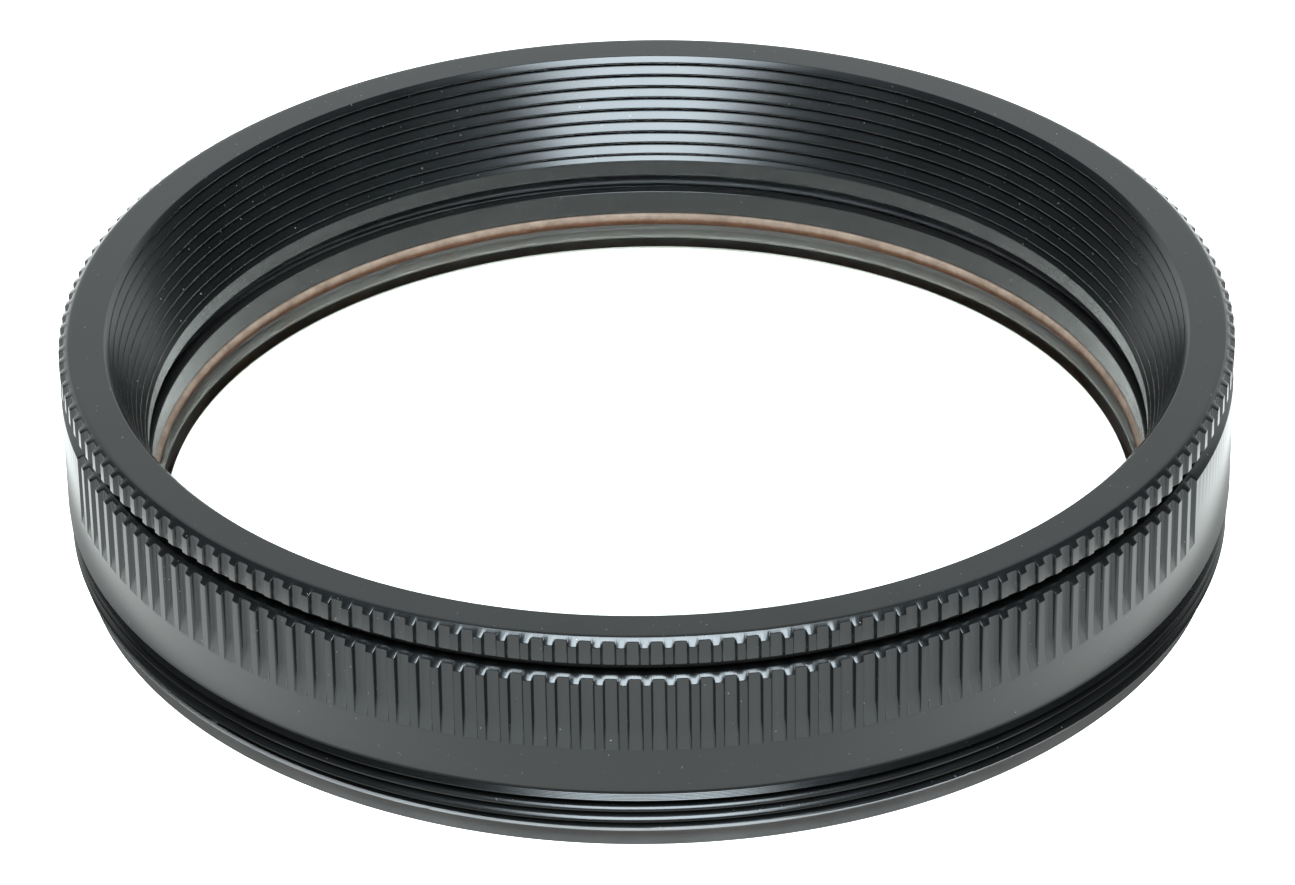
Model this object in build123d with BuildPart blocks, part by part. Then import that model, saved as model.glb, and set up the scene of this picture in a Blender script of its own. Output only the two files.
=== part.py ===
"""Barlow lens cell: two knurled rings, a lens stack between a rear lip and a retaining ring.

Millimetres. The optical axis is +Z. The rear rim stands on z = 0 and light enters
through the front ring at the top. +X is to the user's right and -Y is towards the user.
"""
from build123d import *
from math import radians, tan
import os

os.makedirs("parts", exist_ok=True)

# ---------------------------------------------------------------- driving sizes
# Heights above the rear rim
rear_seat_z = 0.60          # the lens stack rests on the rear lip here
lip_bore_foot_z = 0.50      # below this the rear lip flares open
gasket_foot_z = 3.20        # also the top edge of the glass stack
gasket_top_z = 4.17         # also the foot of the retaining ring
retainer_top_z = 5.79
neck_step_z = 6.80          # shoulder inside the body, just below the front ring's neck
neck_end_z = 7.00
baffle_foot_z = 8.07
flute_foot_z = 7.22
body_top_z = 12.08
flange_foot_z = 12.73
front_z = 14.65

# Grip, shared by both rings
grip_r = 36.15
face_r = 35.57              # outer edge of each ring's flat end faces
chamfer_drop = 0.40
flutes_per_turn = 164
flutes_per_zone = 63        # the body's two fluted zones leave two smooth panels
flute_depth = 0.34
flute_floor_w = 0.71
flute_mouth_w = 0.95
flute_overcut = 0.30
front_flute_angle = 2.66    # first flute, degrees from -Y towards +X
zone_centre_angle = -3.775

# Rear attachment thread, M72 x 0.75, at its major diameter
thread_r = 36.00
thread_root_r = 35.50
thread_foot_z = 1.45
thread_top_z = 3.34
thread_chamfer = 0.15
relief_top_z = 3.80
shoulder_top_z = 4.35
shoulder_foot_r = 35.70
pilot_r = 35.40
edge_break = 0.12

# Bores and the lens stack
aperture_r = 30.20
lip_flare_r = 31.00
glass_bore_r = 31.55
retainer_thread_r = 32.00   # M64 x 0.75
front_thread_r = 34.00      # M68 x 0.75
thread_clearance = 0.05
glass_r = 31.50
retainer_bore_r = 30.84
gasket_bore_r = 30.60
spacer_bore_r = 30.60
front_glass_edge = 1.40
spacer_thickness = 0.18
front_glass_front_sag = 0.30
front_glass_rear_sag = 0.25
rear_glass_front_sag = 0.20
spanner_hole_r = 0.35
spanner_hole_depth = 0.90

# Front ring
neck_bore_r = 30.98
baffle_crest_mouth_r = 33.15   # the line of crests, carried up to the top face
baffle_pitch = 0.72
baffle_grooves = 9
baffle_first_crest_z = 8.53
baffle_crest_flat = 0.06
baffle_rising_flank = 45.0  # degrees from horizontal
baffle_falling_flank = 20.0

# Slip washer
washer_bore_r = 34.10
washer_rim_r = 35.00

front_glass_foot_z = gasket_foot_z - front_glass_edge
rear_glass_top_z = front_glass_foot_z - spacer_thickness


def baffle_r(z):
    """Radius of the glare baffle's crests at height z."""
    slope = (baffle_crest_mouth_r - neck_bore_r) / (front_z - baffle_foot_z)
    return neck_bore_r + slope * (z - baffle_foot_z)


def baffle_outline():
    """Crests and V grooves of the baffle, from the neck's land up to the mouth."""
    rise = tan(radians(baffle_rising_flank))
    fall = tan(radians(baffle_falling_flank))
    points = [(neck_bore_r, baffle_foot_z)]
    for groove in range(baffle_grooves):
        crest_z = baffle_first_crest_z + groove * baffle_pitch
        crest_r = baffle_r(crest_z)
        crest_foot_z = crest_z - baffle_crest_flat / 2
        start_r, start_z = points[-1]
        root_step = (crest_foot_z - start_z + fall * (crest_r - start_r)) / (rise + fall)
        points.append((start_r + root_step, start_z + rise * root_step))
        points.append((crest_r, crest_foot_z))
        points.append((crest_r, crest_z + baffle_crest_flat / 2))
    last_r, last_z = points[-1]
    points.append((last_r + (front_z - last_z) / rise, front_z))
    return points


def flute_outline():
    """Plan section of one flute: a trapezoid that opens outward, x measured from the floor."""
    widening = (flute_mouth_w - flute_floor_w) / 2 / flute_depth
    reach = flute_depth + flute_overcut
    floor_half = flute_floor_w / 2
    mouth_half = floor_half + widening * reach
    return [(0, -floor_half), (reach, -mouth_half), (reach, mouth_half), (0, floor_half)]


flute_floor_r = grip_r - flute_depth
flute_pitch_angle = 360 / flutes_per_turn
zone_span = (flutes_per_zone - 1) * flute_pitch_angle

# ---------------------------------------------------------------- body ring
with BuildPart() as body_ring:
    with BuildSketch(Plane.XZ):
        with BuildLine():
            Polyline(
                (lip_flare_r, 0),
                (pilot_r - edge_break, 0),
                (pilot_r, edge_break),
                (pilot_r, thread_foot_z - thread_chamfer),
                (thread_r, thread_foot_z),
                (thread_r, thread_top_z),
                (thread_root_r, thread_top_z),
                (thread_root_r, relief_top_z),
                (shoulder_foot_r, relief_top_z),
                (grip_r, shoulder_top_z),
                (grip_r, body_top_z - chamfer_drop),
                (face_r, body_top_z),
                (front_thread_r, body_top_z),
                (front_thread_r, neck_step_z),
                (retainer_thread_r, neck_step_z),
                (retainer_thread_r, gasket_top_z - edge_break),
                (glass_bore_r, gasket_top_z - edge_break),
                (glass_bore_r, rear_seat_z),
                (aperture_r, rear_seat_z),
                (aperture_r, lip_bore_foot_z),
                close=True,
            )
        make_face()
    revolve(axis=Axis.Z)
    with BuildSketch(Plane.XY.offset(flute_foot_z)):
        for zone_turn in (0, 180):
            first_angle = -90 + zone_centre_angle - zone_span / 2 + zone_turn
            with PolarLocations(flute_floor_r, flutes_per_zone, first_angle, zone_span, endpoint=True):
                Polygon(*flute_outline(), align=None)
    extrude(amount=body_top_z - flute_foot_z, mode=Mode.SUBTRACT)
body_ring.part.label = "body_ring"
export_step(body_ring.part, "parts/body_ring.step")

# ---------------------------------------------------------------- front ring
neck_r = front_thread_r - thread_clearance
with BuildPart() as front_ring:
    with BuildSketch(Plane.XZ):
        with BuildLine():
            Polyline(
                *baffle_outline(),
                (face_r, front_z),
                (grip_r, front_z - chamfer_drop),
                (grip_r, flange_foot_z + chamfer_drop),
                (face_r, flange_foot_z),
                (neck_r, flange_foot_z),
                (neck_r, neck_end_z + edge_break),
                (neck_r - edge_break, neck_end_z),
                (neck_bore_r, neck_end_z),
                close=True,
            )
        make_face()
    revolve(axis=Axis.Z)
    with BuildSketch(Plane.XY.offset(flange_foot_z)):
        with PolarLocations(flute_floor_r, flutes_per_turn, front_flute_angle - 90):
            Polygon(*flute_outline(), align=None)
    extrude(amount=front_z - flange_foot_z, mode=Mode.SUBTRACT)
front_ring.part.label = "front_ring"
export_step(front_ring.part, "parts/front_ring.step")

# ---------------------------------------------------------------- slip washer
with BuildPart() as slip_washer:
    with BuildSketch(Plane.XY.offset(body_top_z)):
        Circle(washer_rim_r)
        Circle(washer_bore_r, mode=Mode.SUBTRACT)
    extrude(amount=flange_foot_z - body_top_z)
slip_washer.part.label = "slip_washer"
export_step(slip_washer.part, "parts/slip_washer.step")

# ---------------------------------------------------------------- retaining ring
with BuildPart() as retaining_ring:
    with BuildSketch(Plane.XY.offset(gasket_top_z)):
        Circle(retainer_thread_r)
        Circle(retainer_bore_r, mode=Mode.SUBTRACT)
    extrude(amount=retainer_top_z - gasket_top_z)
    with BuildSketch(Plane.XY.offset(retainer_top_z)):
        with PolarLocations((retainer_bore_r + retainer_thread_r) / 2, 2):
            Circle(spanner_hole_r)
    extrude(amount=-spanner_hole_depth, mode=Mode.SUBTRACT)
retaining_ring.part.label = "retaining_ring"
export_step(retaining_ring.part, "parts/retaining_ring.step")

# ---------------------------------------------------------------- gasket
gasket_nose_r = (gasket_top_z - gasket_foot_z) / 2
gasket_flat_r = gasket_bore_r + gasket_nose_r
with BuildPart() as fibre_gasket:
    with BuildSketch(Plane.XZ):
        with BuildLine():
            Line((glass_r, gasket_foot_z), (gasket_flat_r, gasket_foot_z))
            ThreePointArc(
                (gasket_flat_r, gasket_foot_z),
                (gasket_bore_r, gasket_foot_z + gasket_nose_r),
                (gasket_flat_r, gasket_top_z),
            )
            Line((gasket_flat_r, gasket_top_z), (glass_r, gasket_top_z))
            Line((glass_r, gasket_top_z), (glass_r, gasket_foot_z))
        make_face()
    revolve(axis=Axis.Z)
fibre_gasket.part.label = "fibre_gasket"
export_step(fibre_gasket.part, "parts/fibre_gasket.step")

# ---------------------------------------------------------------- front element
front_glass_front_apex = (0, gasket_foot_z - front_glass_front_sag)
front_glass_rear_apex = (0, front_glass_foot_z + front_glass_rear_sag)
with BuildPart() as front_element:
    with BuildSketch(Plane.XZ):
        with BuildLine():
            TangentArc(front_glass_front_apex, (glass_r, gasket_foot_z), tangent=(1, 0))
            Line((glass_r, gasket_foot_z), (glass_r, front_glass_foot_z))
            TangentArc(front_glass_rear_apex, (glass_r, front_glass_foot_z), tangent=(1, 0))
            Line(front_glass_rear_apex, front_glass_front_apex)
        make_face()
    revolve(axis=Axis.Z)
front_element.part.label = "front_element"
export_step(front_element.part, "parts/front_element.step")

# ---------------------------------------------------------------- element spacer
with BuildPart() as element_spacer:
    with BuildSketch(Plane.XY.offset(rear_glass_top_z)):
        Circle(glass_r)
        Circle(spacer_bore_r, mode=Mode.SUBTRACT)
    extrude(amount=spacer_thickness)
element_spacer.part.label = "element_spacer"
export_step(element_spacer.part, "parts/element_spacer.step")

# ---------------------------------------------------------------- rear element
rear_glass_apex = (0, rear_glass_top_z + rear_glass_front_sag)
with BuildPart() as rear_element:
    with BuildSketch(Plane.XZ):
        with BuildLine():
            TangentArc(rear_glass_apex, (spacer_bore_r, rear_glass_top_z), tangent=(1, 0))
            Line((spacer_bore_r, rear_glass_top_z), (glass_r, rear_glass_top_z))
            Line((glass_r, rear_glass_top_z), (glass_r, rear_seat_z))
            Line((glass_r, rear_seat_z), (0, rear_seat_z))
            Line((0, rear_seat_z), rear_glass_apex)
        make_face()
    revolve(axis=Axis.Z)
rear_element.part.label = "rear_element"
export_step(rear_element.part, "parts/rear_element.step")
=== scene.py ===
"""Looks for the barlow lens cell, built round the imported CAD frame.

Sizes in this file are millimetres until a mesh is made, and metres after that. Angles round the
cell are degrees, anticlockwise seen from above, with -90 towards the camera.
"""
from math import cos, pi, radians, sin, tan

import bmesh
import bpy
import numpy as np
from mathutils import Matrix, Vector


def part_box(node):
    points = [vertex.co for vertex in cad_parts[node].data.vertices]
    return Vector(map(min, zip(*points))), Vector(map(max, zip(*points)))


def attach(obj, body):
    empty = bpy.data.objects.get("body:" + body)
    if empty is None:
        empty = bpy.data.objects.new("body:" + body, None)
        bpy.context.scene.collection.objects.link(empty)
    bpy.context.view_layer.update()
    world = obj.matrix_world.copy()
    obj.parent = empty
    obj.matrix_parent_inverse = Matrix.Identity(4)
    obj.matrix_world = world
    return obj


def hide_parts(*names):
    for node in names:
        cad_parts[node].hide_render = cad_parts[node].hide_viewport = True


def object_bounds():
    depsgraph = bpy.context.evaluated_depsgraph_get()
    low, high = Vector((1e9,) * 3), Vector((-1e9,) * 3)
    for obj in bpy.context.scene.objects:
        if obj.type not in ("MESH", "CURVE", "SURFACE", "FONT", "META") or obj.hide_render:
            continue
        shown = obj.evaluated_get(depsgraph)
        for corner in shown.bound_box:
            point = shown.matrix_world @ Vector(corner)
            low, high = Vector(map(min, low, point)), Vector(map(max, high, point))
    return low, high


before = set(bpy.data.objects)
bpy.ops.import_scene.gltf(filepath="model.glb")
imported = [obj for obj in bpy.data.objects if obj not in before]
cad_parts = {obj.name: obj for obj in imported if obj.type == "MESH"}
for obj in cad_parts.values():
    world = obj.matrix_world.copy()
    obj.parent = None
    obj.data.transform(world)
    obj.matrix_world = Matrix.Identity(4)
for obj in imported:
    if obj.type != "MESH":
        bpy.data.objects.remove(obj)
cad_low, cad_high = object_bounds()

MM = 0.001
MICROMETRE = 0.000001
FRONT_ANGLE = -90.0         # the side of the cell towards the camera

# ------------------------------------------------------------------ camera
# Lengths in this block and in the light's are metres, but the lens and its sensor are millimetres
CAMERA_ELEVATION = 32.03
CAMERA_DISTANCE = 0.4050
CAMERA_ROLL = -0.904
CAMERA_LENS = 180.7
CAMERA_SENSOR = 36.0
CAMERA_NEAR = 0.01
CAMERA_FAR = 20.0
CAMERA_TARGET = Vector((-0.00005, 0.0, cad_low.z + 0.00546))


def make_camera():
    """A long lens that looks along +Y and down on the cell, with a slight roll."""
    elevation = radians(CAMERA_ELEVATION)
    roll = radians(CAMERA_ROLL)
    forward = Vector((0, cos(elevation), -sin(elevation)))
    level_right = Vector((1, 0, 0))
    level_up = level_right.cross(forward)
    right = cos(roll) * level_right + sin(roll) * level_up
    up = -sin(roll) * level_right + cos(roll) * level_up
    camera = bpy.data.objects.new("camera", bpy.data.cameras.new("camera"))
    bpy.context.scene.collection.objects.link(camera)
    camera.data.lens = CAMERA_LENS
    camera.data.sensor_width = CAMERA_SENSOR
    camera.data.clip_start = CAMERA_NEAR
    camera.data.clip_end = CAMERA_FAR
    camera.matrix_world = Matrix.Translation(CAMERA_TARGET - CAMERA_DISTANCE * forward) @ Matrix(
        (right, up, -forward)
    ).transposed().to_4x4()
    bpy.context.scene.camera = camera


# ------------------------------------------------------------------ node helpers
NOISE_SPREAD = (0.3, 0.7)   # most of a noise texture's values lie between these


class Nodes:
    """Short ways to add nodes to one tree and to link them."""

    def __init__(self, tree):
        self.tree = tree
        tree.nodes.clear()

    def add(self, kind, inputs=None, **settings):
        node = self.tree.nodes.new(kind)
        for name, value in settings.items():
            setattr(node, name, value)
        for name, value in (inputs or {}).items():
            self.feed(node, name, value)
        return node

    def feed(self, node, name, value):
        """Sets an input socket, or links it when the value is another node's output socket."""
        self.fill(node.inputs[name], value)

    def fill(self, socket, value):
        if isinstance(value, bpy.types.NodeSocket):
            self.tree.links.new(value, socket)
        else:
            socket.default_value = value

    def place(self):
        """Where a point is in its own object, in metres."""
        return self.add("ShaderNodeTexCoord").outputs["Object"]

    def axes(self, vector):
        return self.add("ShaderNodeSeparateXYZ", {"Vector": vector}).outputs

    def length(self, vector):
        return self.add("ShaderNodeVectorMath", {0: vector}, operation="LENGTH").outputs["Value"]

    def math(self, operation, first, second):
        return self.add("ShaderNodeMath", {0: first, 1: second}, operation=operation).outputs[0]

    def remap(self, value, from_low, from_high, to_low=0.0, to_high=1.0):
        """Linear remap, clamped at both ends."""
        ends = {"From Min": from_low, "From Max": from_high, "To Min": to_low, "To Max": to_high}
        inputs = {"Value": value, **ends}
        return self.add("ShaderNodeMapRange", inputs, clamp=True).outputs[0]

    def spread(self, noise, low=0.0, high=1.0):
        """A noise's usual range drawn out to run from low to high."""
        return self.remap(noise, *NOISE_SPREAD, low, high)

    def mix(self, factor, first, second):
        node = self.add("ShaderNodeMix", data_type="RGBA")
        self.feed(node, "Factor", factor)
        for socket, value in zip([s for s in node.inputs if s.type == "RGBA"], (first, second)):
            self.fill(socket, value)
        return next(s for s in node.outputs if s.type == "RGBA")

    def noise(self, vector, scale, detail=2.0, roughness=0.5):
        inputs = {"Vector": vector, "Scale": scale, "Detail": detail, "Roughness": roughness}
        return self.add("ShaderNodeTexNoise", inputs).outputs["Fac"]

    def bump(self, height, distance, normal=None):
        """Bump of a height in micrometres, on top of another bump where one is given."""
        inputs = {"Height": height, "Distance": distance * MICROMETRE, "Strength": 1.0}
        if normal is not None:
            inputs["Normal"] = normal
        return self.add("ShaderNodeBump", inputs).outputs["Normal"]


def new_material(name):
    """A material whose tree holds a Principled shader and an output: (material, nodes, shader)."""
    material = bpy.data.materials.new(name)
    material.use_nodes = True
    nodes = Nodes(material.node_tree)
    shader = nodes.add("ShaderNodeBsdfPrincipled")
    output = nodes.add("ShaderNodeOutputMaterial")
    nodes.tree.links.new(shader.outputs["BSDF"], output.inputs["Surface"])
    return material, nodes, shader


# ------------------------------------------------------------------ materials
LINE_RADIUS = 0.036         # metres; turns an angle round the cell into a length
LINE_SWEEP = 0.02           # share of that length that noise sees: the smaller, the longer the lines
STRAND_SWEEP = 0.25         # the same for the gasket's strands

DUST = (0.32, 0.32, 0.31, 1.0)
NYLON_DARK = (0.008, 0.008, 0.008, 1)
NYLON_PALE = (0.016, 0.016, 0.016, 1)
# The gasket's brown, painted darker under its crown as shade and paler on its crown as light from above
FIBRE_SHADED_UNDER_DARK = (0.125, 0.040, 0.012, 1)
FIBRE_SHADED_UNDER_PALE = (0.185, 0.068, 0.026, 1)
FIBRE_LIT_CROWN_DARK = (0.190, 0.125, 0.085, 1)
FIBRE_LIT_CROWN_PALE = (0.300, 0.210, 0.153, 1)
FIBRE_STRAND = (0.40, 0.31, 0.25, 1)
GLASS_COLOUR = (0.97, 0.985, 0.975, 1)
GROUND_DARK = (0.22, 0.21, 0.19, 1)
GROUND_PALE = (0.34, 0.33, 0.30, 1)
# The foil's black is painted pale grey: painted light where the spacer sits in shade under the front glass
FOIL_BLACK_PAINTED_LIGHT = (0.22, 0.21, 0.19, 1)
FOIL_BRASS = (0.36, 0.29, 0.19, 1)

# Noise scales: cells to the metre
ANODISED_GRAIN = 9000.0
ANODISED_CLOUD = 220.0
ANODISED_LINES = 16000.0
ANODISED_SPECKS = 5200.0
SPECK_RANGE = (0.775, 0.805)   # only the noise's peaks make specks
CLOUD_SHARE = 0.15             # the clouds lighten and darken the base colour by this share
CLOUD_ROUGHNESS = 0.02
NYLON_GRAIN = 6000.0
FIBRE_STRANDS = 9000.0
FIBRE_BLOTCHES = 900.0
FIBRE_LIT_CROWN_BLEND = 0.10       # millimetres over which the painted light of the crown gives way to the painted shade under it, either side
GLASS_SMEARS = 90.0
GROUND_GRAIN = 12000.0
FOIL_CLOUD = 500.0
FOIL_GRAIN = 8000.0


def lathe_vector(nodes, place, sweep=LINE_SWEEP):
    """Radius, a little of the angle, and height: noise read along it is drawn out into turning lines."""
    x, y, z = nodes.axes(place)
    flat = nodes.add("ShaderNodeCombineXYZ", {"X": x, "Y": y})
    radius = nodes.length(flat.outputs[0])
    angle = nodes.math("ARCTAN2", y, x)
    swept = nodes.math("MULTIPLY", angle, sweep * LINE_RADIUS)
    return nodes.add("ShaderNodeCombineXYZ", {"X": radius, "Y": swept, "Z": z}).outputs[0]


def anodised(name, base, roughness, grain=0.25, lines=0.25, dust=0.5):
    """Black anodised aluminium; grain and lines are bump heights in micrometres."""
    material, nodes, shader = new_material(name)
    place = nodes.place()
    turned = lathe_vector(nodes, place)
    fine = nodes.noise(place, ANODISED_GRAIN, detail=3.0)
    cloud = nodes.noise(place, ANODISED_CLOUD, detail=3.0)
    line = nodes.noise(turned, ANODISED_LINES)
    speck = nodes.remap(nodes.noise(place, ANODISED_SPECKS, detail=1.0), *SPECK_RANGE, 0.0, dust)
    dark = (*[c * (1.0 - CLOUD_SHARE) for c in base], 1.0)
    pale = (*[c * (1.0 + CLOUD_SHARE) for c in base], 1.0)
    shade = nodes.mix(nodes.spread(cloud), dark, pale)
    nodes.feed(shader, "Base Color", nodes.mix(speck, shade, DUST))
    rough = nodes.spread(cloud, roughness - CLOUD_ROUGHNESS, roughness + CLOUD_ROUGHNESS)
    nodes.feed(shader, "Roughness", rough)
    nodes.feed(shader, "Normal", nodes.bump(line, lines, normal=nodes.bump(fine, grain)))
    nodes.feed(shader, "IOR", 1.5)
    return material


def nylon_material():
    """Matte black nylon with a fine moulded grain."""
    material, nodes, shader = new_material("black_nylon")
    grain = nodes.noise(nodes.place(), NYLON_GRAIN, detail=3.0)
    nodes.feed(shader, "Base Color", nodes.mix(grain, NYLON_DARK, NYLON_PALE))
    nodes.feed(shader, "Roughness", nodes.spread(grain, 0.6, 0.75))
    nodes.feed(shader, "Normal", nodes.bump(grain, 4.0))
    return material


def fibre_material():
    """Brown fibre cord with fine strands, painted paler on its crown as light from above and darker and
    redder under it as shade.
    """
    material, nodes, shader = new_material("brown_fibre")
    place = nodes.place()
    turned = lathe_vector(nodes, place, sweep=STRAND_SWEEP)
    strands = nodes.noise(turned, FIBRE_STRANDS, detail=4.0, roughness=0.6)
    blotch = nodes.noise(place, FIBRE_BLOTCHES, detail=4.0, roughness=0.6)
    blotches = nodes.remap(blotch, 0.35, 0.65)
    lit_crown_z = GASKET_LIT_CROWN_Z * MM
    blend_z = FIBRE_LIT_CROWN_BLEND * MM
    # Painted light and shade: 0 under the crown, which is in shade, 1 on the crown, where the light falls
    crown = nodes.remap(nodes.axes(place)["Z"], lit_crown_z - blend_z, lit_crown_z + blend_z)
    under = nodes.mix(blotches, FIBRE_SHADED_UNDER_DARK, FIBRE_SHADED_UNDER_PALE)
    over = nodes.mix(blotches, FIBRE_LIT_CROWN_DARK, FIBRE_LIT_CROWN_PALE)
    shade = nodes.mix(crown, under, over)
    dry = nodes.remap(strands, 0.55, 0.72, 0.0, 0.35)
    nodes.feed(shader, "Base Color", nodes.mix(dry, shade, FIBRE_STRAND))
    nodes.feed(shader, "Roughness", nodes.spread(strands, 0.65, 0.85))
    nodes.feed(shader, "Normal", nodes.bump(strands, 3.0))
    return material


def glass_material():
    """Polished optical glass with a faint smear that only its gloss shows."""
    material, nodes, shader = new_material("optical_glass")
    smear = nodes.noise(nodes.place(), GLASS_SMEARS, detail=4.0)
    nodes.feed(shader, "Base Color", GLASS_COLOUR)
    nodes.feed(shader, "Roughness", nodes.remap(smear, 0.55, 0.8, 0.0, 0.02))
    nodes.feed(shader, "Transmission Weight", 1.0)
    nodes.feed(shader, "IOR", 1.52)
    return material


def ground_material():
    """The fine ground edge of a lens."""
    material, nodes, shader = new_material("ground_glass_edge")
    grain = nodes.noise(nodes.place(), GROUND_GRAIN, detail=3.0)
    nodes.feed(shader, "Base Color", nodes.mix(grain, GROUND_DARK, GROUND_PALE))
    nodes.feed(shader, "Roughness", nodes.spread(grain, 0.5, 0.7))
    nodes.feed(shader, "Normal", nodes.bump(grain, 4.0))
    return material


def foil_material():
    """Blackened brass foil, a little brassy where the finish is thin; its black is painted pale grey, as
    painted light where it sits in shade.
    """
    material, nodes, shader = new_material("blackened_brass")
    place = nodes.place()
    cloud = nodes.noise(place, FOIL_CLOUD, detail=4.0)
    grain = nodes.noise(place, FOIL_GRAIN)
    thin = nodes.remap(cloud, 0.62, 0.75, 0.0, 0.5)
    nodes.feed(shader, "Base Color", nodes.mix(thin, FOIL_BLACK_PAINTED_LIGHT, FOIL_BRASS))
    nodes.feed(shader, "Metallic", nodes.math("MULTIPLY", thin, 1.6))
    nodes.feed(shader, "Roughness", nodes.spread(cloud, 0.35, 0.5))
    nodes.feed(shader, "Normal", nodes.bump(grain, 2.0))
    return material


# ------------------------------------------------------------------ light, floor and world
LIGHT_TINT = (0.94, 1.0, 0.99)
ROOM_GLOW = 0.04
PANEL_GLOW = 1.40
PANEL_FULL = 28.0           # elevation in degrees up to which the panel has its full glow
PANEL_TOP = 43.0
PANEL_SIDE = 44.0           # degrees either side of straight behind
PANEL_EDGE = 52.0
FLOOR_HALF = 2.0
FLOOR_DROP = 0.00002        # below the cell, so that no two faces share a plane
FLOOR_GLOW = 2.55
FLOOR_NEAR_GLOW = 1.75
FLOOR_NEAR_Y = -0.045
FLOOR_FAR_Y = -0.026
SHADE_DROP = 0.00001
SHADE_COLUMNS = 180
SHADE_INNER_R = 0.0353
SHADE_DARK_R = 0.0400
SHADE_OUTER_R = 0.0410
SHADE_SHARE = 0.18          # of the floor's glow, at the cell's foot
SOFTBOX_TINT = (0.80, 0.925, 1.0)
SOFTBOX_GLOW = 20.0
SOFTBOX_HALF_X = 0.205
SOFTBOX_HALF_Y = 0.29
SOFTBOX_DISTANCE = 0.80
SOFTBOX_ELEVATION = 67.0


def room_glow(nodes):
    """Radiance of the room by direction: dark, but for one pale panel low down behind the cell."""
    direction = nodes.add("ShaderNodeTexCoord").outputs["Generated"]
    x, y, z = nodes.axes(direction)
    flat = nodes.add("ShaderNodeCombineXYZ", {"X": x, "Y": y}).outputs[0]
    facing = nodes.math("DIVIDE", y, nodes.length(flat))
    panel = nodes.math(
        "MULTIPLY",
        nodes.remap(z, sin(radians(PANEL_FULL)), sin(radians(PANEL_TOP)), PANEL_GLOW, 0.0),
        nodes.remap(facing, cos(radians(PANEL_EDGE)), cos(radians(PANEL_SIDE))),
    )
    return nodes.math("ADD", panel, ROOM_GLOW)


def make_light():
    """A self-lit floor in a dark room, a panel behind, one softbox above the camera, one dark ring."""
    world = bpy.data.worlds.new("studio")
    bpy.context.scene.world = world
    world.use_nodes = True
    nodes = Nodes(world.node_tree)
    background = nodes.add("ShaderNodeBackground", {"Color": (*LIGHT_TINT, 1), "Strength": room_glow(nodes)})
    output = nodes.add("ShaderNodeOutputWorld")
    nodes.tree.links.new(background.outputs[0], output.inputs["Surface"])

    floor = plane("floor", FLOOR_HALF, FLOOR_HALF, floor_material())
    floor.location.z = cad_low.z - FLOOR_DROP
    shade_ring = annulus("shade_ring", SHADE_INNER_R, SHADE_OUTER_R, shade_material())
    shade_ring.location.z = cad_low.z - SHADE_DROP
    shade_ring.visible_camera = False

    softbox_glow = emission("softbox_glow", SOFTBOX_TINT, SOFTBOX_GLOW)
    softbox = plane("softbox", SOFTBOX_HALF_X, SOFTBOX_HALF_Y, softbox_glow)
    tilt = radians(90 - SOFTBOX_ELEVATION)
    softbox.location = (0, -SOFTBOX_DISTANCE * sin(tilt), SOFTBOX_DISTANCE * cos(tilt))
    softbox.rotation_euler = (tilt, 0, 0)


def floor_glow(nodes, place):
    """Strength of the floor's own light, a little dimmer towards the camera."""
    return nodes.remap(nodes.axes(place)["Y"], FLOOR_NEAR_Y, FLOOR_FAR_Y, FLOOR_NEAR_GLOW, FLOOR_GLOW)


def floor_material():
    """White self-lit floor."""
    material, nodes, glow = new_glow("floor_white", LIGHT_TINT)
    nodes.feed(glow, "Strength", floor_glow(nodes, nodes.place()))
    return material


def shade_material():
    """The floor's contact shadow: dark at the cell's foot, as bright as the floor at its outer edge."""
    material, nodes, glow = new_glow("contact_shadow", LIGHT_TINT)
    place = nodes.place()
    share = nodes.remap(nodes.length(place), SHADE_DARK_R, SHADE_OUTER_R, SHADE_SHARE, 1.0)
    nodes.feed(glow, "Strength", nodes.math("MULTIPLY", share, floor_glow(nodes, place)))
    return material


def new_glow(name, colour):
    """A material that only emits: (material, nodes, emission shader)."""
    material = bpy.data.materials.new(name)
    material.use_nodes = True
    nodes = Nodes(material.node_tree)
    glow = nodes.add("ShaderNodeEmission", {"Color": (*colour, 1)})
    output = nodes.add("ShaderNodeOutputMaterial")
    nodes.tree.links.new(glow.outputs[0], output.inputs["Surface"])
    return material, nodes, glow


def emission(name, colour, strength):
    material, nodes, glow = new_glow(name, colour)
    nodes.feed(glow, "Strength", strength)
    return material


def annulus(name, inner_r, outer_r, material):
    """A flat ring of the given radii in metres."""
    count = SHADE_COLUMNS
    turns = [2 * pi * k / count for k in range(count)]
    points = [(r * cos(turn), r * sin(turn), 0) for r in (inner_r, outer_r) for turn in turns]
    faces = [(k, (k + 1) % count, count + (k + 1) % count, count + k) for k in range(count)]
    return stage_object(name, points, faces, material)


def stage_object(name, points, faces, material):
    mesh = bpy.data.meshes.new(name)
    mesh.from_pydata(points, [], faces)
    mesh.materials.append(material)
    placed = bpy.data.objects.new(name, mesh)
    bpy.context.scene.collection.objects.link(placed)
    return placed


def plane(name, half_x, half_y, material):
    corners = [(-half_x, -half_y, 0), (half_x, -half_y, 0), (half_x, half_y, 0), (-half_x, half_y, 0)]
    return stage_object(name, corners, [(0, 1, 2, 3)], material)


# ------------------------------------------------------------------ shared sizes, from the frame
def top_of(node):
    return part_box(node)[1].z / MM


def foot_of(node):
    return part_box(node)[0].z / MM


def radius_of(node):
    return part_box(node)[1].x / MM


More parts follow.
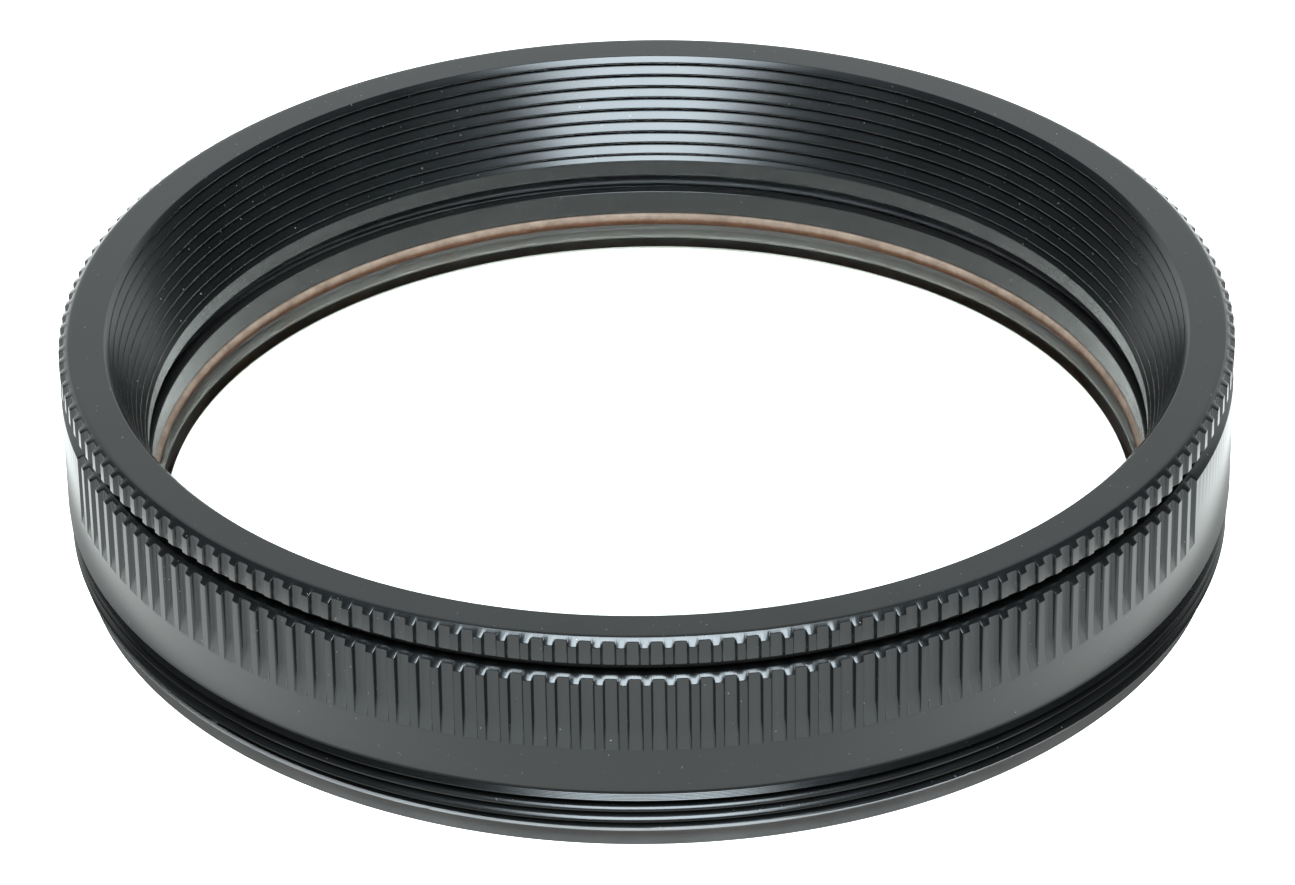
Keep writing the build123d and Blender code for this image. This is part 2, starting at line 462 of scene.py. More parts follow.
GRIP_R = radius_of("body_ring")
BODY_TOP_Z = top_of("body_ring")
FRONT_Z = top_of("front_ring")
NECK_END_Z = foot_of("front_ring")
WASHER_R = radius_of("slip_washer")
FLANGE_Z = top_of("slip_washer")
RETAINER_R = radius_of("retaining_ring")
RETAINER_FOOT_Z = foot_of("retaining_ring")
RETAINER_TOP_Z = top_of("retaining_ring")
GASKET_FOOT_Z = foot_of("fibre_gasket")
GLASS_R = radius_of("front_element")
FRONT_GLASS_FOOT_Z = foot_of("front_element")
SPACER_FOOT_Z = foot_of("element_spacer")
GASKET_LIT_CROWN_Z = GASKET_FOOT_Z + 0.55   # where the painted light on the gasket's crown begins; below it the brown is painted darker as shade
SEAT_Z = foot_of("rear_element")

# Grip flutes
FLUTES = 164
FLUTE_DEPTH = 0.34
FACE_R = 35.57              # outer edge of each ring's flat end faces
FACE_SEAM_R = FACE_R - 0.25  # the fine columns of the grip give way to coarse ones here
CHAMFER_DROP = 0.40
FLUTE_FOOT_Z = 7.22
FLUTE_RUN_OUT = 1.4         # height over which a flute's floor rises to the smooth band
FRONT_FIRST_FLUTE = FRONT_ANGLE + 2.66
BODY_FIRST_FLUTE = FRONT_ANGLE - 71.82
FLUTES_PER_ZONE = 63
FLUTE_PITCH = 360.0 / FLUTES
CHAMFER_EASE = 0.035
FLOOR_SHARE = 0.9           # a face this deep in a flute is part of its floor
SLEEK = 0                   # material slots of the two rings
DULL = 1
RUBBED_AND_LIT = 2
RECESS_PAINTED_LIGHT = 3
SEAT_PAINTED_LIGHT = 4
POLISHED = 0                # material slots of the glasses
GROUND = 1

# Half of one flute in plan: distance from the flute's centre, and share of the depth there
HALF_FLUTE = [
    (0.000, 1.00),
    (0.220, 1.00),
    (0.315, 0.97),
    (0.368, 0.84),
    (0.405, 0.54),
    (0.438, 0.14),
    (0.465, 0.00),
]
COLUMNS_PER_FLUTE = 2 * len(HALF_FLUTE)
FINE_PER_COARSE = len(HALF_FLUTE)


# Sizes of eased corners
FINE_EASE = 0.03
SLIGHT_EASE = 0.04
SOFT_EASE = 0.05
ROUND_EASE = 0.06
CORNER_STEPS = 3            # points along an eased corner, less one
CHAMFER_STEPS = 2

SHARP_ANGLE = 38.0          # an edge that turns by more than this is shaded as an edge
MERGE_DISTANCE = 0.0001
FACE_WEIGHT = 100


# ------------------------------------------------------------------ threads
THREAD_PITCH = 0.75
# Half of one thread: share of the pitch from the middle of a crest, and height above the root there
HALF_THREAD = [
    (0.000, 1.00),
    (0.020, 1.00),
    (0.100, 0.88),
    (0.190, 0.68),
    (0.365, 0.02),
    (0.400, 0.00),
]
# Places of a thread's rows in one pitch, from the middle of a crest
THREAD_STEPS = [place for place, height in HALF_THREAD]
THREAD_STEPS += [1.0 - place for place, height in HALF_THREAD[:0:-1]]


def thread_height(share):
    """Height of a thread with well rounded crests above its root, from 0 to 1."""
    places, heights = zip(*HALF_THREAD)
    return np.interp(np.minimum(share, 1.0 - share), places, heights)


def outer_thread(root, crest, ends):
    """wall() of a male thread. ends are (z, r) points that its radius stays under."""
    places, limits = zip(*ends)

    def wall(share, z):
        return np.minimum(root + (crest - root) * thread_height(share), np.interp(z, places, limits))

    return wall


def inner_thread(root, crest, ends):
    """wall() of a female thread, whose crests point inward. ends are (z, r) points it stays over."""
    places, limits = zip(*ends)

    def wall(share, z):
        height = thread_height((share + 0.5) % 1.0)
        return np.maximum(root - (root - crest) * height, np.interp(z, places, limits))

    return wall


# ------------------------------------------------------------------ mesh helpers
def columns(first_flute):
    """Angles of the fine columns round a ring, and each one's share of the flute depth."""
    land_half = GRIP_R * radians(FLUTE_PITCH) / 2
    offsets = [place for place, depth in HALF_FLUTE] + [land_half]
    offsets += [2 * land_half - place for place, depth in HALF_FLUTE[:0:-1]]
    depths = [depth for place, depth in HALF_FLUTE] + [0.0]
    depths += [depth for place, depth in HALF_FLUTE[:0:-1]]
    steps = np.degrees(np.array(offsets) / GRIP_R)
    starts = first_flute + FLUTE_PITCH * np.arange(FLUTES)
    angles = (starts[:, None] + steps[None, :]).ravel()
    return angles, np.tile(depths, FLUTES)


def ring(angles, radius, z):
    """Points of one ring; the radius and the height may differ from column to column."""
    turn = np.radians(angles)
    radius = np.broadcast_to(radius, turn.shape)
    z = np.broadcast_to(z, turn.shape)
    return np.stack([radius * np.cos(turn), radius * np.sin(turn), z], axis=1)


def eased_corner(before, corner, after, size):
    """Points of a small rounded corner; size is how far from the corner it begins."""
    before, corner, after = (np.array(p, float) for p in (before, corner, after))
    start = corner + (before - corner) * size / np.linalg.norm(before - corner)
    end = corner + (after - corner) * size / np.linalg.norm(after - corner)
    points = []
    for step in range(CORNER_STEPS + 1):
        share = step / CORNER_STEPS
        points.append(start * (1 - share) ** 2 + 2 * corner * share * (1 - share) + end * share ** 2)
    return points


def eased_path(path, closed=False):
    """(r, z) points from a path of (r, z) or (r, z, size of its rounded corner)."""
    points = []
    count = len(path)
    for index, entry in enumerate(path):
        at_end = not closed and index in (0, count - 1)
        if len(entry) == 2 or at_end:
            points.append(np.array(entry[:2], float))
        else:
            before = path[index - 1][:2]
            after = path[(index + 1) % count][:2]
            points.extend(eased_corner(before, entry[:2], after, entry[2]))
    return points


class Shell:
    """Collects rings of points and the faces between them, then makes one closed mesh of them."""

    def __init__(self):
        self.points = []
        self.faces = []
        self.slots = []
        self.count = 0

    def take(self, ring_points):
        start = self.count
        self.points.append(ring_points)
        self.count += len(ring_points)
        return np.arange(start, self.count)

    def join(self, first, second, slot=0):
        """Faces between two rings of vertex numbers; one may have more columns than the other.

        slot is one material slot, or an array with one for each face.
        """
        if len(first) < len(second):
            first, second = second, first
        if len(first) == len(second):
            quads = np.stack([first, np.roll(first, -1), np.roll(second, -1), second], axis=1)
            new = quads.tolist()
        else:
            times = len(first) // len(second)
            new = []
            looped = np.append(first, first[0]).tolist()
            short = np.append(second, second[0]).tolist()
            for k in range(len(second)):
                new.append([*looped[k * times:(k + 1) * times + 1], short[k + 1], short[k]])
        self.faces.extend(new)
        self.slots.extend(np.broadcast_to(slot, len(new)).tolist())

    def sweep(self, rings, slot=0):
        """Joins rings one after another, and returns the first and last as vertex numbers."""
        taken = [self.take(points) for points in rings]
        for first, second in zip(taken, taken[1:]):
            self.join(first, second, slot)
        return taken[0], taken[-1]

    def lathe(self, angles, path, slot=0):
        return self.sweep([ring(angles, r, z) for r, z in path], slot)

    def cap(self, edge, apex, slot):
        """A fan from a ring to one point on the axis."""
        tip = self.take(np.array([apex], float))[0]
        new = np.stack([edge, np.roll(edge, -1), np.full(len(edge), tip)], axis=1).tolist()
        self.faces.extend(new)
        self.slots.extend([slot] * len(new))

    def helix(self, angles, foot_z, top_z, phase_z, wall, edges=(), slot=0, worn_z=0.0):
        """A threaded wall from foot_z to top_z, whose rows follow the helix.

        phase_z is the height of a crest at FRONT_ANGLE. wall(share, z) gives the radius.
        edges are heights where a row is moved to keep an edge crisp. Faces that end at or below
        worn_z are in the rubbed slot.
        """
        pitch = THREAD_PITCH
        steps = np.array(THREAD_STEPS)
        climb = pitch * (angles - angles[0]) / 360.0
        crest_z = phase_z + pitch * (angles[0] - FRONT_ANGLE) / 360.0
        turns_down = int(np.ceil((crest_z + pitch - foot_z) / pitch)) + 1
        turns_up = int(np.ceil((top_z - crest_z) / pitch)) + 2
        turns = np.arange(-turns_down, turns_up + 1)
        base = (turns[:, None] + steps[None, :]).ravel() * pitch + crest_z
        z = np.clip(base[:, None] + climb[None, :], foot_z, top_z)
        for edge in edges:
            nearest = np.abs(z - edge).argmin(axis=0)
            z[nearest, np.arange(len(angles))] = edge
        share = ((z - climb[None, :] - crest_z) / pitch) % 1.0
        radius = wall(share, z)
        rows = [self.take(ring(angles, radius[k], z[k])) for k in range(len(base))]
        last = len(rows) - 1
        per_turn = len(steps)
        for k in range(last):
            low, high = rows[k], rows[k + 1]
            low_wrap = rows[min(k + per_turn, last)][0]
            high_wrap = rows[min(k + 1 + per_turn, last)][0]
            next_low = np.append(low[1:], low_wrap)
            next_high = np.append(high[1:], high_wrap)
            new = np.stack([low, next_low, next_high, high], axis=1).tolist()
            self.faces.extend(new)
            self.slots.extend(np.where(z[k + 1] <= worn_z, RUBBED_AND_LIT, slot).tolist())
        return rows[0], rows[-1]

    def make(self, name, materials):
        """One object in metres, with doubled points merged, faces turned outward and edges marked."""
        mesh = bpy.data.meshes.new(name)
        mesh.from_pydata((np.concatenate(self.points) * MM).tolist(), [], self.faces)
        for material in materials:
            mesh.materials.append(material)
        mesh.polygons.foreach_set("material_index", self.slots)
        work = bmesh.new()
        work.from_mesh(mesh)
        bmesh.ops.remove_doubles(work, verts=work.verts, dist=MERGE_DISTANCE * MM)
        loose = [v for v in work.verts if not v.link_faces]
        bmesh.ops.delete(work, geom=loose, context="VERTS")
        bmesh.ops.recalc_face_normals(work, faces=work.faces)
        work.to_mesh(mesh)
        work.free()
        mesh.shade_smooth()
        mesh.set_sharp_from_angle(angle=radians(SHARP_ANGLE))
        placed = bpy.data.objects.new(name, mesh)
        bpy.context.scene.collection.objects.link(placed)
        weighted = placed.modifiers.new("even_shading", "WEIGHTED_NORMAL")
        weighted.keep_sharp = True
        weighted.weight = FACE_WEIGHT
        return placed


# ------------------------------------------------------------------ grip
def blend(start, corner, end):
    """(r, z) pairs along a small curve that rounds off one corner; each may be an array of columns."""
    pairs = []
    for step in range(CHAMFER_STEPS + 1):
        share = step / CHAMFER_STEPS
        weights = ((1 - share) ** 2, 2 * share * (1 - share), share ** 2)
        ends = (start, corner, end)
        pairs.append(tuple(sum(w * p[axis] for w, p in zip(weights, ends)) for axis in (0, 1)))
    return pairs


def grip_end(angles, depth_share, face_z, way):
    """Rings from a fluted wall over its chamfer to a flat end face; way is +1 for a top, -1 for a foot."""
    wall_r = GRIP_R - FLUTE_DEPTH * depth_share
    run = np.hypot(GRIP_R - FACE_R, CHAMFER_DROP)
    out_r = (GRIP_R - FACE_R) / run
    along_z = CHAMFER_DROP / run * way
    corner_z = face_z - way * (wall_r - FACE_R) * CHAMFER_DROP / (GRIP_R - FACE_R)
    outer = blend(
        (wall_r, corner_z - CHAMFER_EASE * way),
        (wall_r, corner_z),
        (wall_r - CHAMFER_EASE * out_r, corner_z + CHAMFER_EASE * along_z),
    )
    inner = blend(
        (FACE_R + CHAMFER_EASE * out_r, face_z - CHAMFER_EASE * along_z),
        (FACE_R, face_z),
        (FACE_R - CHAMFER_EASE, face_z),
    )
    return [ring(angles, r, z) for r, z in outer + inner]


def flute_slots(depth_share):
    """Material slot of each face round a fluted wall: dull on the flutes' floors, sleek elsewhere."""
    cut = np.minimum(depth_share, np.roll(depth_share, -1)) > FLOOR_SHARE
    return np.where(cut, DULL, SLEEK)


# ------------------------------------------------------------------ body ring
PILOT_R = 35.40
PILOT_TOP_Z = 1.30
PILOT_EASE = 0.13
M72_ROOT = 35.54
M72_CREST = 36.00
M72_CREST_Z = 2.20
M72_FULL_Z = 1.45           # the rear thread has its full height from here up
WORN_Z = 1.56               # the first thread's edge is rubbed bare up to here
THREAD_END_Z = 3.54
THREAD_RAMP = 0.2           # height over which a thread dies out
STRIP_R = 36.10             # a strip of fine turning ridges between the thread and the smooth band
STRIP_FOOT_Z = 3.64
STRIP_RIDGES = 5
RIDGE_DEPTH = 0.05
BAND_FOOT_Z = 4.31
BAND_SEAM = 0.2             # plain rings stand this far inside the smooth band's two edges
NECK_BORE_FOOT_Z = 7.00
NECK_STEP_Z = 6.80
STEP_INNER_R = 31.90
MOUTH_CHAMFER = 0.12
MOUTH_RUN_OUT = 0.57        # depth below the top face at which the neck's thread is full
APERTURE_R = 30.20
LIP_BORE_FOOT_Z = 0.50
LIP_FLARE_R = 31.00
GLASS_BORE_R = 31.55
M68_ROOT_BODY = 34.00
M68_CREST_BODY = 33.55
M68_CREST_NECK = 33.95
M68_ROOT_NECK = 33.50
M68_TIP_R = 33.45           # the neck's thread starts and ends at this radius
M68_PHASE_Z = 9.00
M64_ROOT_BODY = 32.00
M64_CREST_BODY = 31.60
M64_CREST_RETAINER = 31.95
M64_ROOT_RETAINER = 31.55
M64_PHASE_Z = 5.30
M64_FOOT_Z = 4.05
M64_TOP_Z = 6.70


def body_columns():
    """Angles and flute depths of the body's fine columns: two fluted zones, two smooth panels."""
    angles, depth_share = columns(BODY_FIRST_FLUTE)
    index = np.arange(FLUTES) % (FLUTES // 2)
    fluted = index < FLUTES_PER_ZONE
    # The fine columns start at a flute's centre, so each pitch ends with half of the next flute
    here = np.repeat(fluted, COLUMNS_PER_FLUTE)
    following = np.repeat(np.roll(fluted, -1), COLUMNS_PER_FLUTE)
    past_land = np.tile(np.arange(COLUMNS_PER_FLUTE) >= FINE_PER_COARSE, FLUTES)
    return angles, depth_share * np.where(past_land, following, here)


def add_body_grip(shell, angles, depth_share, coarse):
    """The fluted wall from the smooth band up, its chamfer and the rim of the top face."""
    wall_foot = ring(angles, GRIP_R - FLUTE_DEPTH * depth_share, FLUTE_FOOT_Z + FLUTE_RUN_OUT)
    band_edge = ring(angles, GRIP_R, FLUTE_FOOT_Z)
    grip = grip_end(angles, depth_share, BODY_TOP_Z, 1)
    band_first = shell.sweep([band_edge, wall_foot, grip[0]], flute_slots(depth_share))[0]
    face_edge = shell.sweep(grip)[1]
    band = shell.take(ring(coarse, GRIP_R, FLUTE_FOOT_Z - BAND_SEAM))
    shell.join(band_first, band)
    face = shell.take(ring(coarse, FACE_SEAM_R, BODY_TOP_Z))
    shell.join(face_edge, face)


def add_neck_bore(shell, coarse):
    """The top face, the thread that takes the front ring's neck, and the step below it."""
    mouth_z = BODY_TOP_Z - MOUTH_CHAMFER
    shell.lathe(coarse, eased_path([
        (FACE_SEAM_R, BODY_TOP_Z),
        (M68_ROOT_BODY + MOUTH_CHAMFER, BODY_TOP_Z, SLIGHT_EASE),
        (M68_ROOT_BODY, mouth_z),
    ]))
    limits = [
        (NECK_BORE_FOOT_Z, M68_ROOT_BODY),
        (NECK_BORE_FOOT_Z + THREAD_RAMP, M68_CREST_BODY),
        (BODY_TOP_Z - MOUTH_RUN_OUT, M68_CREST_BODY),
        (mouth_z, M68_ROOT_BODY),
    ]
    wall = inner_thread(M68_ROOT_BODY, M68_CREST_BODY, limits)
    shell.helix(coarse, NECK_BORE_FOOT_Z, mouth_z, M68_PHASE_Z, wall)
    step = [
        (M68_ROOT_BODY, NECK_BORE_FOOT_Z),
        (M68_ROOT_BODY, NECK_STEP_Z),
        (STEP_INNER_R, NECK_STEP_Z, SLIGHT_EASE),
        (M64_CREST_BODY, M64_TOP_Z),
    ]
    return shell.lathe(coarse, eased_path(step))[1]


def add_glass_bore(shell, coarse, step_edge):
    """The retaining ring's thread, the glass bore, the seat and the rear lip."""
    limits = [(M64_FOOT_Z, M64_CREST_BODY), (M64_TOP_Z, M64_CREST_BODY)]
    wall = inner_thread(M64_ROOT_BODY, M64_CREST_BODY, limits)
    # This thread is painted pale grey: painted light, standing in for light in the recess that the front
    # ring shades
    thread_foot, thread_top = shell.helix(coarse, M64_FOOT_Z, M64_TOP_Z, M64_PHASE_Z, wall, slot=RECESS_PAINTED_LIGHT)
    shell.join(thread_top, step_edge)
    bore_edge = shell.lathe(coarse, [(GLASS_BORE_R, M64_FOOT_Z), (GLASS_BORE_R, SEAT_Z)])[0]
    shell.join(thread_foot, bore_edge)
    seat = [
        (GLASS_BORE_R, SEAT_Z),
        (APERTURE_R, SEAT_Z),
        (APERTURE_R, LIP_BORE_FOOT_Z),
        (LIP_FLARE_R, 0.0),
    ]
    # The seat is painted pale grey: painted light, standing in for light that its place in the shade under
    # the spacer does not get
    shell.lathe(coarse, seat, slot=SEAT_PAINTED_LIGHT)
    lip = [(LIP_FLARE_R, 0.0), (PILOT_R, 0.0, PILOT_EASE), (PILOT_R, PILOT_TOP_Z)]
    # The lip is painted pale grey: partly real wear of its anodising, partly painted reflection of the
    # bright floor at its foot
    shell.lathe(coarse, eased_path(lip), slot=RUBBED_AND_LIT)


def add_rear_thread(shell, coarse):
    """The rear thread, then a strip of fine ridges and the small step up to the smooth band."""
    limits = [
        (PILOT_TOP_Z, PILOT_R),
        (M72_FULL_Z, M72_CREST),
        (THREAD_END_Z - THREAD_RAMP, M72_CREST),
        (THREAD_END_Z, M72_ROOT),
    ]
    thread_end = shell.helix(
        coarse, PILOT_TOP_Z, THREAD_END_Z, M72_CREST_Z,
        outer_thread(M72_ROOT, M72_CREST, limits), edges=(M72_FULL_Z, WORN_Z), worn_z=WORN_Z,
    )[1]
    strip = [(M72_ROOT, THREAD_END_Z), (STRIP_R, STRIP_FOOT_Z)]
    for ridge in range(STRIP_RIDGES):
        z = STRIP_FOOT_Z + 2 * RIDGE_DEPTH * ridge
        strip += [(STRIP_R - RIDGE_DEPTH, z + RIDGE_DEPTH), (STRIP_R, z + 2 * RIDGE_DEPTH)]
    strip += [(GRIP_R, BAND_FOOT_Z, SOFT_EASE), (GRIP_R, BAND_FOOT_Z + BAND_SEAM)]
    strip_foot = shell.lathe(coarse, eased_path(strip))[0]
    shell.join(thread_end, strip_foot)
    shell.lathe(coarse, [(GRIP_R, BAND_FOOT_Z + BAND_SEAM), (GRIP_R, FLUTE_FOOT_Z - BAND_SEAM)])


def make_body(materials):
    shell = Shell()
    angles, depth_share = body_columns()
    coarse = angles[::FINE_PER_COARSE]
    add_body_grip(shell, angles, depth_share, coarse)
    step_edge = add_neck_bore(shell, coarse)
    add_glass_bore(shell, coarse, step_edge)
    add_rear_thread(shell, coarse)
    return shell.make("body_ring_detail", materials)


# ------------------------------------------------------------------ front ring
BAFFLE_FOOT_Z = 8.07
BAFFLE_FOOT_R = 30.98
BAFFLE_CREST_MOUTH_R = 33.15
BAFFLE_PITCH = 0.72
BAFFLE_GROOVES = 9
BAFFLE_FIRST_CREST_Z = 8.51
BAFFLE_CREST_FLAT = 0.10
BAFFLE_CREST_EASE = 0.045
BAFFLE_RISING_FLANK = 45.0
BAFFLE_FALLING_FLANK = 20.0
NECK_LEAD_IN = 0.35         # height over which the neck's thread grows from its foot
NECK_RELIEF = 0.3           # plain height between the neck's thread and the flange


def baffle_path():
    """Crests and V grooves of the glare baffle, from the plain land up to the mouth."""
    slope = (BAFFLE_CREST_MOUTH_R - BAFFLE_FOOT_R) / (FRONT_Z - BAFFLE_FOOT_Z)
    rise = tan(radians(BAFFLE_RISING_FLANK))
    fall = tan(radians(BAFFLE_FALLING_FLANK))
    path = [(BAFFLE_FOOT_R, BAFFLE_FOOT_Z, FINE_EASE)]
    for groove in range(BAFFLE_GROOVES):
        crest_z = BAFFLE_FIRST_CREST_Z + groove * BAFFLE_PITCH
        crest_r = BAFFLE_FOOT_R + slope * (crest_z - BAFFLE_FOOT_Z)
        crest_foot_z = crest_z - BAFFLE_CREST_FLAT / 2
        start_r, start_z = path[-1][:2]
        step = (crest_foot_z - start_z + fall * (crest_r - start_r)) / (rise + fall)
        path.append((start_r + step, start_z + rise * step))
        path.append((crest_r, crest_foot_z, BAFFLE_CREST_EASE))
        path.append((crest_r, crest_z + BAFFLE_CREST_FLAT / 2, BAFFLE_CREST_EASE))
    last_r, last_z = path[-1][:2]
    path.append((last_r + (FRONT_Z - last_z) / rise, FRONT_Z, SLIGHT_EASE))
    return path


def make_front_ring(materials):
    shell = Shell()
    angles, depth_share = columns(FRONT_FIRST_FLUTE)
    coarse = angles[::FINE_PER_COARSE]
    wall_foot, foot = shell.sweep(grip_end(angles, depth_share, FLANGE_Z, -1))
    wall_top, top = shell.sweep(grip_end(angles, depth_share, FRONT_Z, 1))
    shell.join(wall_foot, wall_top, flute_slots(depth_share))
    foot_face = (FACE_SEAM_R, FLANGE_Z)
    top_face = (FACE_SEAM_R, FRONT_Z)
    shell.join(foot, shell.take(ring(coarse, *foot_face)))
    shell.join(top, shell.take(ring(coarse, *top_face)))

    inside = [(BAFFLE_FOOT_R, NECK_END_Z, SOFT_EASE), *baffle_path(), top_face]
    shell.lathe(coarse, eased_path([(M68_TIP_R, NECK_END_Z), *inside]))
    neck_top = FLANGE_Z - NECK_RELIEF
    limits = [
        (NECK_END_Z, M68_TIP_R),
        (NECK_END_Z + NECK_LEAD_IN, M68_CREST_NECK),
        (neck_top - THREAD_RAMP, M68_CREST_NECK),
        (neck_top, M68_TIP_R),
    ]
    wall = outer_thread(M68_ROOT_NECK, M68_CREST_NECK, limits)
    shell.helix(coarse, NECK_END_Z, neck_top, M68_PHASE_Z + THREAD_PITCH / 2, wall)
    shell.lathe(coarse, [(M68_TIP_R, neck_top), (M68_TIP_R, FLANGE_Z), foot_face])
    return shell.make("front_ring_detail", materials)


# ------------------------------------------------------------------ small rings
PLAIN_COLUMNS = 328
GASKET_COLUMNS = 656
WASHER_BORE_R = 34.10
RETAINER_BORE_R = 30.84
RETAINER_RAMP = 0.3         # height over which its thread grows at each end
SPANNER_HOLE_R = 0.35
SPANNER_HOLE_DEPTH = 0.90
SPANNER_HOLE_SIDES = 40
GASKET_BORE_R = 30.60
GASKET_NOSE_STEPS = 14
GASKET_SHY = 0.028          # its nose stands this much short, so that its waves stay inside the CAD's
# Unevenness of the gasket's nose: height, waves round the cell, and where they start in radians
GASKET_WAVES = [(0.012, 7, 0.6), (0.009, 19, 2.1), (0.006, 47, 4.0)]
SPACER_BORE_R = 30.60


def plain_columns(count=PLAIN_COLUMNS):
    return FRONT_ANGLE + 360.0 * np.arange(count) / count


def make_flat_ring(name, bore, rim, foot_z, top_z, material):
    """A flat ring; bore and rim are each a radius and the size of its eased corners."""
    shell = Shell()
    (bore_r, bore_ease), (rim_r, rim_ease) = bore, rim
    path = [
        (bore_r, foot_z, bore_ease),
        (rim_r, foot_z, rim_ease),
        (rim_r, top_z, rim_ease),
        (bore_r, top_z, bore_ease),
    ]
    loop = eased_path(path, closed=True)
    shell.lathe(plain_columns(), [*loop, loop[0]])
    return shell.make(name, [material])


def make_washer(material):
    bore = (WASHER_BORE_R, SOFT_EASE)
    rim = (WASHER_R, ROUND_EASE)
    return make_flat_ring("slip_washer_detail", bore, rim, BODY_TOP_Z, FLANGE_Z, material)


def make_spacer(material):
    bore = (SPACER_BORE_R, FINE_EASE)
    rim = (GLASS_R, FINE_EASE)
    return make_flat_ring("element_spacer_detail", bore, rim, SPACER_FOOT_Z, FRONT_GLASS_FOOT_Z, material)


def make_retainer(material):
    shell = Shell()
    angles = plain_columns()
    foot = RETAINER_FOOT_Z
    top = RETAINER_TOP_Z
    shell.lathe(angles, eased_path([
        (M64_ROOT_RETAINER, top),
        (RETAINER_BORE_R, top, ROUND_EASE),
        (RETAINER_BORE_R, foot, SOFT_EASE),
        (M64_ROOT_RETAINER, foot),
    ]))
    limits = [
        (foot, M64_ROOT_RETAINER),
        (foot + RETAINER_RAMP, M64_CREST_RETAINER),
        (top - RETAINER_RAMP, M64_CREST_RETAINER),
        (top, M64_ROOT_RETAINER),
    ]
    wall = outer_thread(M64_ROOT_RETAINER, M64_CREST_RETAINER, limits)
    shell.helix(angles, foot, top, M64_PHASE_Z + THREAD_PITCH / 2, wall)
    retainer = shell.make("retaining_ring_detail", [material])
    for side in (1, -1):
        drill(retainer, side * (RETAINER_BORE_R + RETAINER_R) / 2, top)
    return retainer


def drill(piece, x, top):
    """Cuts one blind spanner hole down from height top, at x on the X axis."""
    bpy.ops.mesh.primitive_cylinder_add(
        vertices=SPANNER_HOLE_SIDES,
        radius=SPANNER_HOLE_R * MM,
        depth=2 * SPANNER_HOLE_DEPTH * MM,
        location=(x * MM, 0, top * MM),
    )
    cutter = bpy.context.object
    cut = piece.modifiers.new("spanner_hole", "BOOLEAN")
    cut.operation = "DIFFERENCE"
    cut.solver = "EXACT"
    cut.object = cutter
    piece.modifiers.move(len(piece.modifiers) - 1, 0)
    bpy.context.view_layer.objects.active = piece
    bpy.ops.object.modifier_apply(modifier=cut.name)
    bpy.data.objects.remove(cutter)


def make_gasket(material):
    """A rounded fibre bead with a slightly uneven nose."""
    shell = Shell()
    angles = plain_columns(GASKET_COLUMNS)
    nose = (RETAINER_FOOT_Z - GASKET_FOOT_Z) / 2
    flat_r = GASKET_BORE_R + nose
    middle_z = GASKET_FOOT_Z + nose
    turn = np.radians(angles)
    wobble = sum(height * np.sin(waves * turn + start) for height, waves, start in GASKET_WAVES)
    rings = [ring(angles, GLASS_R, GASKET_FOOT_Z)]
    for step in range(GASKET_NOSE_STEPS + 1):
        lean = pi * step / GASKET_NOSE_STEPS
        bulge = (nose - GASKET_SHY + wobble) * sin(lean)
        rings.append(ring(angles, flat_r - bulge, middle_z - nose * cos(lean)))
    rings.append(ring(angles, GLASS_R, RETAINER_FOOT_Z))
    rings.append(rings[0])
    shell.sweep(rings)
    return shell.make("fibre_gasket_detail", [material])


# ------------------------------------------------------------------ glass
BEVEL = 0.12
SAG_STEPS = 24
FLAT_STEPS = 12
FRONT_GLASS_FRONT_SAG = 0.30
FRONT_GLASS_REAR_SAG = 0.25
REAR_GLASS_FRONT_SAG = 0.20


def sag_points(edge_r, edge_z, apex_z):
    """(r, z) points of a spherical face from near its apex to its edge."""
    sag = apex_z - edge_z
    radius = (edge_r ** 2 + sag ** 2) / (2 * abs(sag))
    points = []
    for step in range(1, SAG_STEPS + 1):
        r = edge_r * step / SAG_STEPS
        drop = radius - (radius ** 2 - r ** 2) ** 0.5
        points.append((r, apex_z - drop if sag > 0 else apex_z + drop))
    return points


def add_polished_face(shell, angles, points, apex_z):
    """A polished face through (r, z) points, closed by a fan to its apex on the axis."""
    middle = shell.lathe(angles, points, POLISHED)[0]
    shell.cap(middle, (0, 0, apex_z), POLISHED)


def add_ground_edge(shell, angles, top_z, foot_z):
    """The ground edge of a lens, with a bevel at each end."""
    face_r = GLASS_R - BEVEL
    rim = [(face_r, top_z), (GLASS_R, top_z - BEVEL), (GLASS_R, foot_z + BEVEL), (face_r, foot_z)]
    shell.lathe(angles, rim, GROUND)


def make_front_element(polished, ground):
    """Biconcave crown element: two hollow polished faces, bevels and a ground edge."""
    shell = Shell()
    angles = plain_columns()
    for edge_z, apex_z in (
        (GASKET_FOOT_Z, GASKET_FOOT_Z - FRONT_GLASS_FRONT_SAG),
        (FRONT_GLASS_FOOT_Z, FRONT_GLASS_FOOT_Z + FRONT_GLASS_REAR_SAG),
    ):
        add_polished_face(shell, angles, sag_points(GLASS_R - BEVEL, edge_z, apex_z), apex_z)
    add_ground_edge(shell, angles, GASKET_FOOT_Z, FRONT_GLASS_FOOT_Z)
    return shell.make("front_element_detail", [polished, ground])


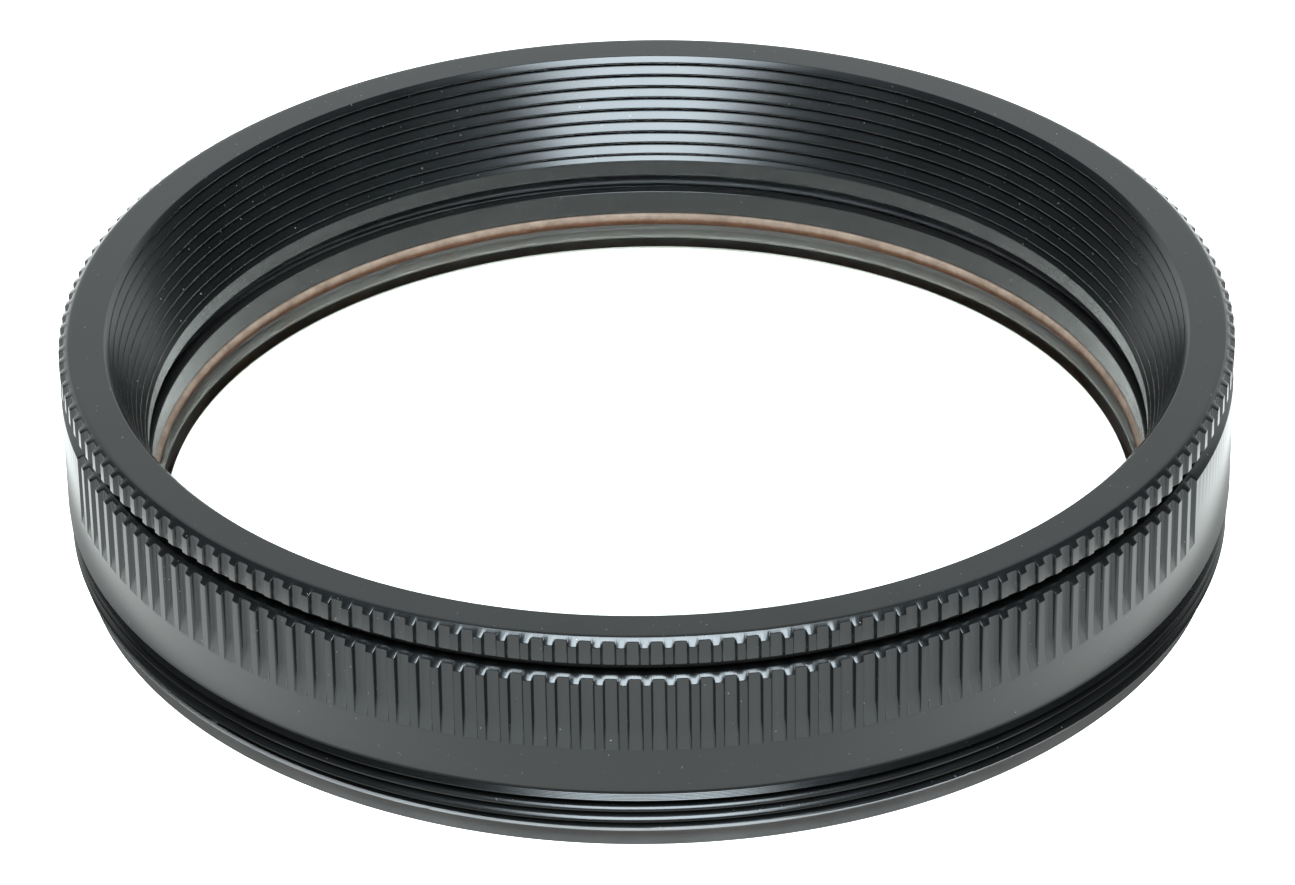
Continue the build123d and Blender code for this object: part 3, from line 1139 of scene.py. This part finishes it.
def make_rear_element(polished, ground):
    """Flint element: a raised front face inside the spacer, a flat rear face and a ground edge."""
    shell = Shell()
    angles = plain_columns()
    face_r = GLASS_R - BEVEL
    apex_z = SPACER_FOOT_Z + REAR_GLASS_FRONT_SAG
    raised = sag_points(SPACER_BORE_R, SPACER_FOOT_Z, apex_z)
    add_polished_face(shell, angles, [*raised, (face_r, SPACER_FOOT_Z)], apex_z)
    flat = [(GLASS_R * step / FLAT_STEPS, SEAT_Z) for step in range(1, FLAT_STEPS)]
    add_polished_face(shell, angles, [*flat, (face_r, SEAT_Z)], SEAT_Z)
    add_ground_edge(shell, angles, SPACER_FOOT_Z, SEAT_Z)
    return shell.make("rear_element_detail", [polished, ground])


# ------------------------------------------------------------------ the object
def place(piece, node, body, slot):
    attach(piece, body)
    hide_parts(node)


make_camera()
make_light()
bpy.context.scene.view_settings.view_transform = "Standard"

sleek = anodised("black_anodised", (0.0075, 0.0080, 0.0082), 0.24)
dull = anodised("black_anodised_dull", (0.024, 0.025, 0.025), 0.50, grain=2.0, dust=0.9)
# Pale grey: real wear on the first thread's edge, and on the lip also a painted reflection of the floor
rubbed_and_lit = anodised("black_anodised_rubbed_and_lit", (0.225, 0.216, 0.210), 0.60, grain=2.0)
# Pale grey on the recessed thread: painted light in a shaded recess
recess_painted_light = anodised("black_anodised_recess_painted_light", (0.165, 0.167, 0.170), 0.50, grain=2.0)
# Pale grey seat: painted light in the shade under the glass stack
seat_painted_light = anodised("pale_seat_painted_light", (0.58, 0.58, 0.55), 0.55, grain=2.0, dust=0.0)
inner = anodised("black_anodised_inner", (0.0095, 0.0092, 0.0088), 0.24)
polished = glass_material()
ground = ground_material()

place(make_body([sleek, dull, rubbed_and_lit, recess_painted_light, seat_painted_light]), "body_ring", "cell", "black_anodised")
place(make_front_ring([sleek, dull]), "front_ring", "front", "black_anodised")
place(make_washer(nylon_material()), "slip_washer", "washer", "black_nylon")
place(make_retainer(inner), "retaining_ring", "cell", "black_anodised")
place(make_gasket(fibre_material()), "fibre_gasket", "cell", "brown_fibre")
place(make_front_element(polished, ground), "front_element", "cell", "optical_glass")
place(make_spacer(foil_material()), "element_spacer", "cell", "blackened_brass")
place(make_rear_element(polished, ground), "rear_element", "cell", "optical_glass")
